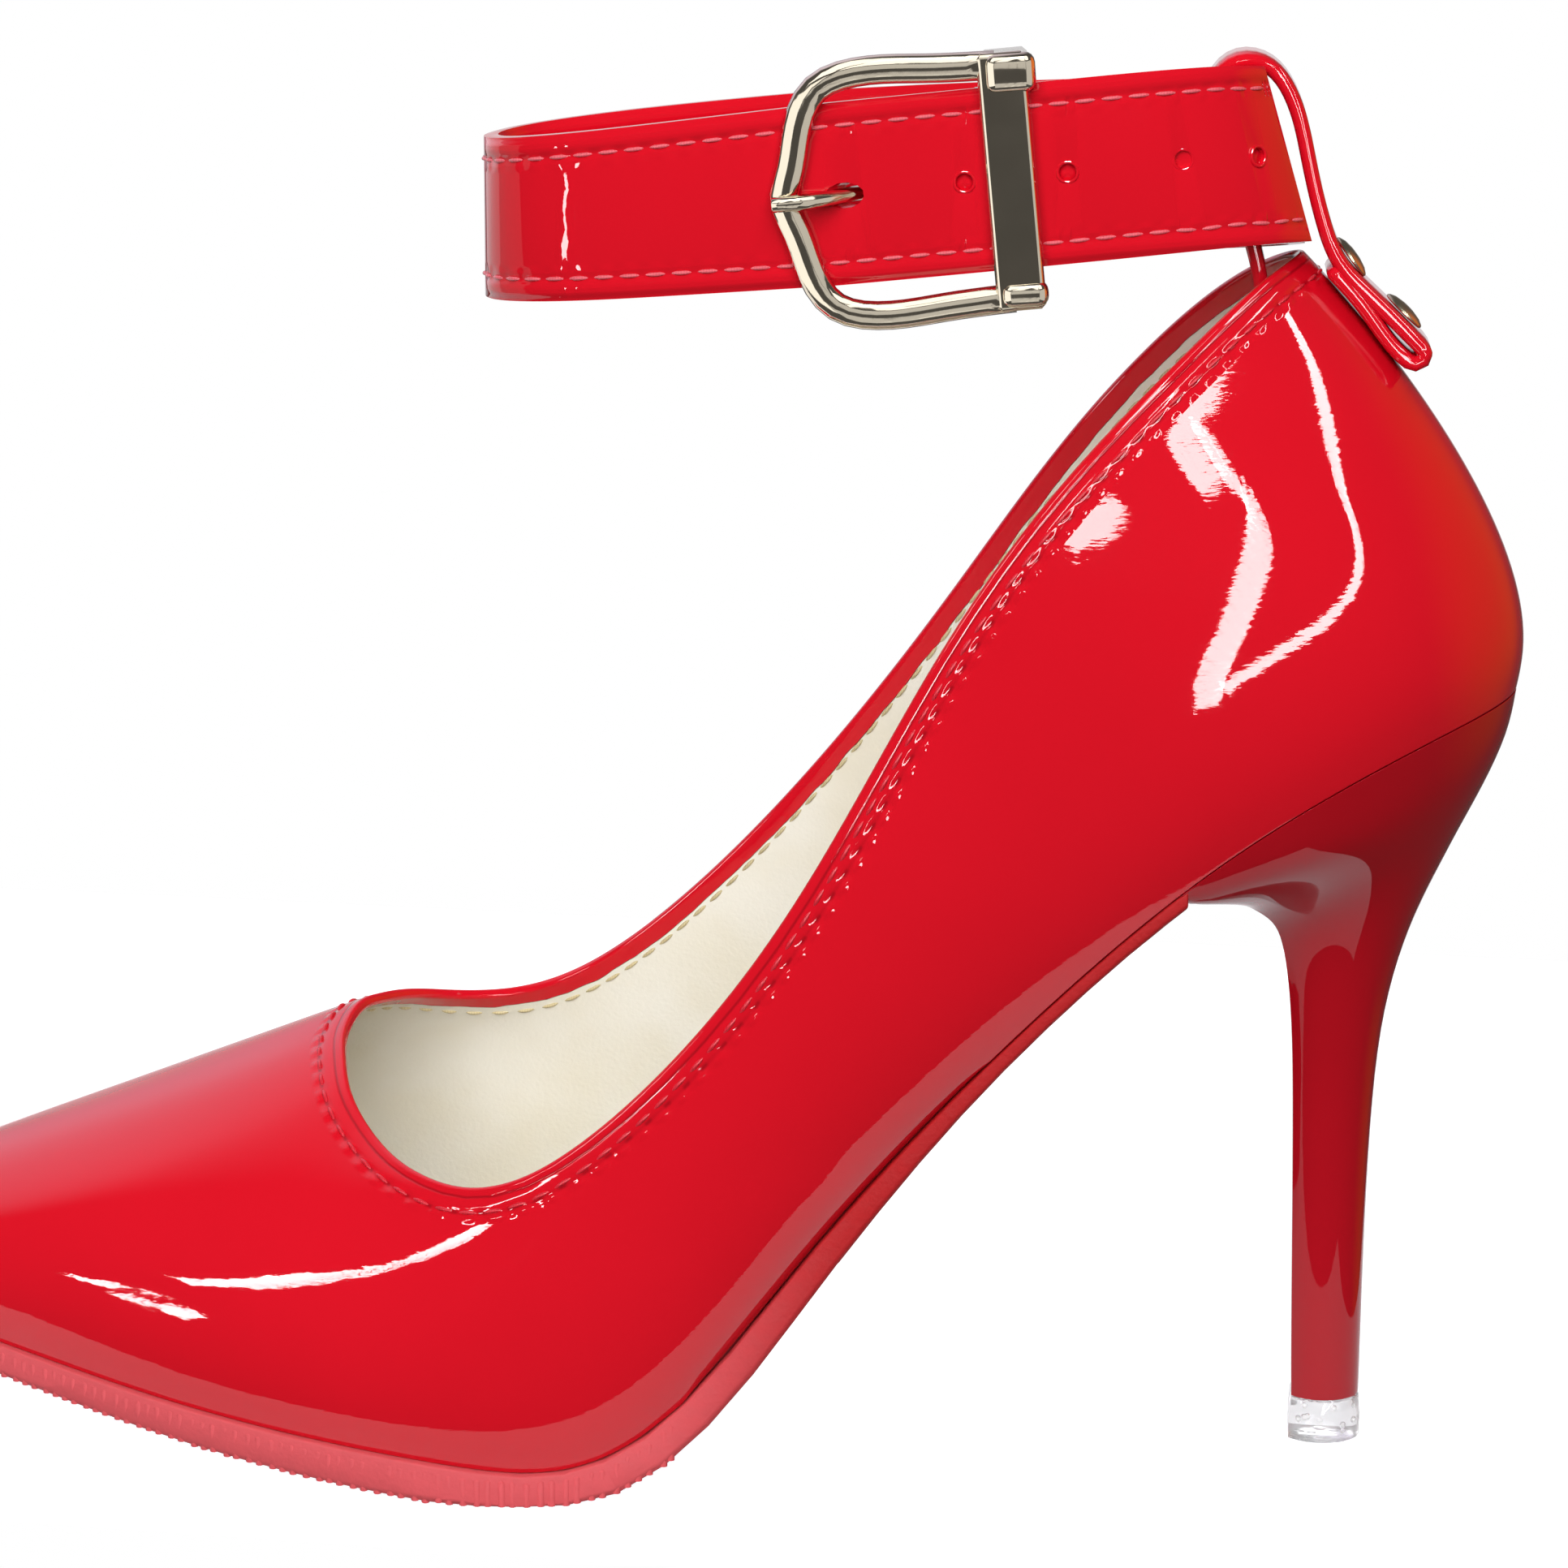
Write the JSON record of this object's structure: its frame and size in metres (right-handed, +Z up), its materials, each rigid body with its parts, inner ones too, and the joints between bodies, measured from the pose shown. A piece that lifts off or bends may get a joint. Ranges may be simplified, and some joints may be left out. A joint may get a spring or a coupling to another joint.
{
  "type": "stiletto pump",
  "caption": "Pointed-toe stiletto pump in red patent leather with a buckled ankle strap, a snap loop at the back, a coral rubber sole and a slim lacquered heel.",
  "frame": {"origin": "middle of the shoe's box, on the floor that the heel tip and the ball of the sole stand on", "axes": "+X from the toe to the heel, +Y to the inner side of the foot, +Z up from the floor"},
  "size_m": [0.233, 0.0792, 0.1839],
  "materials": {
    "upper_patent": "high gloss patent",
    "insole_lining": "matt cream lining",
    "outsole_rubber": "matt, ribbed at the side",
    "heel_lacquer": "gloss lacquer",
    "heel_tip_clear": "clear, slightly grey",
    "strap_patent": "high gloss patent",
    "loop_patent": "high gloss patent",
    "snap_metal": "dull pale gold plating",
    "buckle_metal": "polished pale gold plating",
    "prong_metal": "polished pale gold plating"
  },
  "bodies": {
    "root": {"upper": "upper_patent", "insole": "insole_lining", "outsole": "outsole_rubber", "heel": "heel_lacquer", "heel_tip": "heel_tip_clear", "ankle_strap": "strap_patent", "back_loop": "loop_patent", "snap_upper": "snap_metal", "snap_lower": "snap_metal", "buckle_frame": "buckle_metal", "buckle_prong": "prong_metal"}
  },
  "joints": []
}
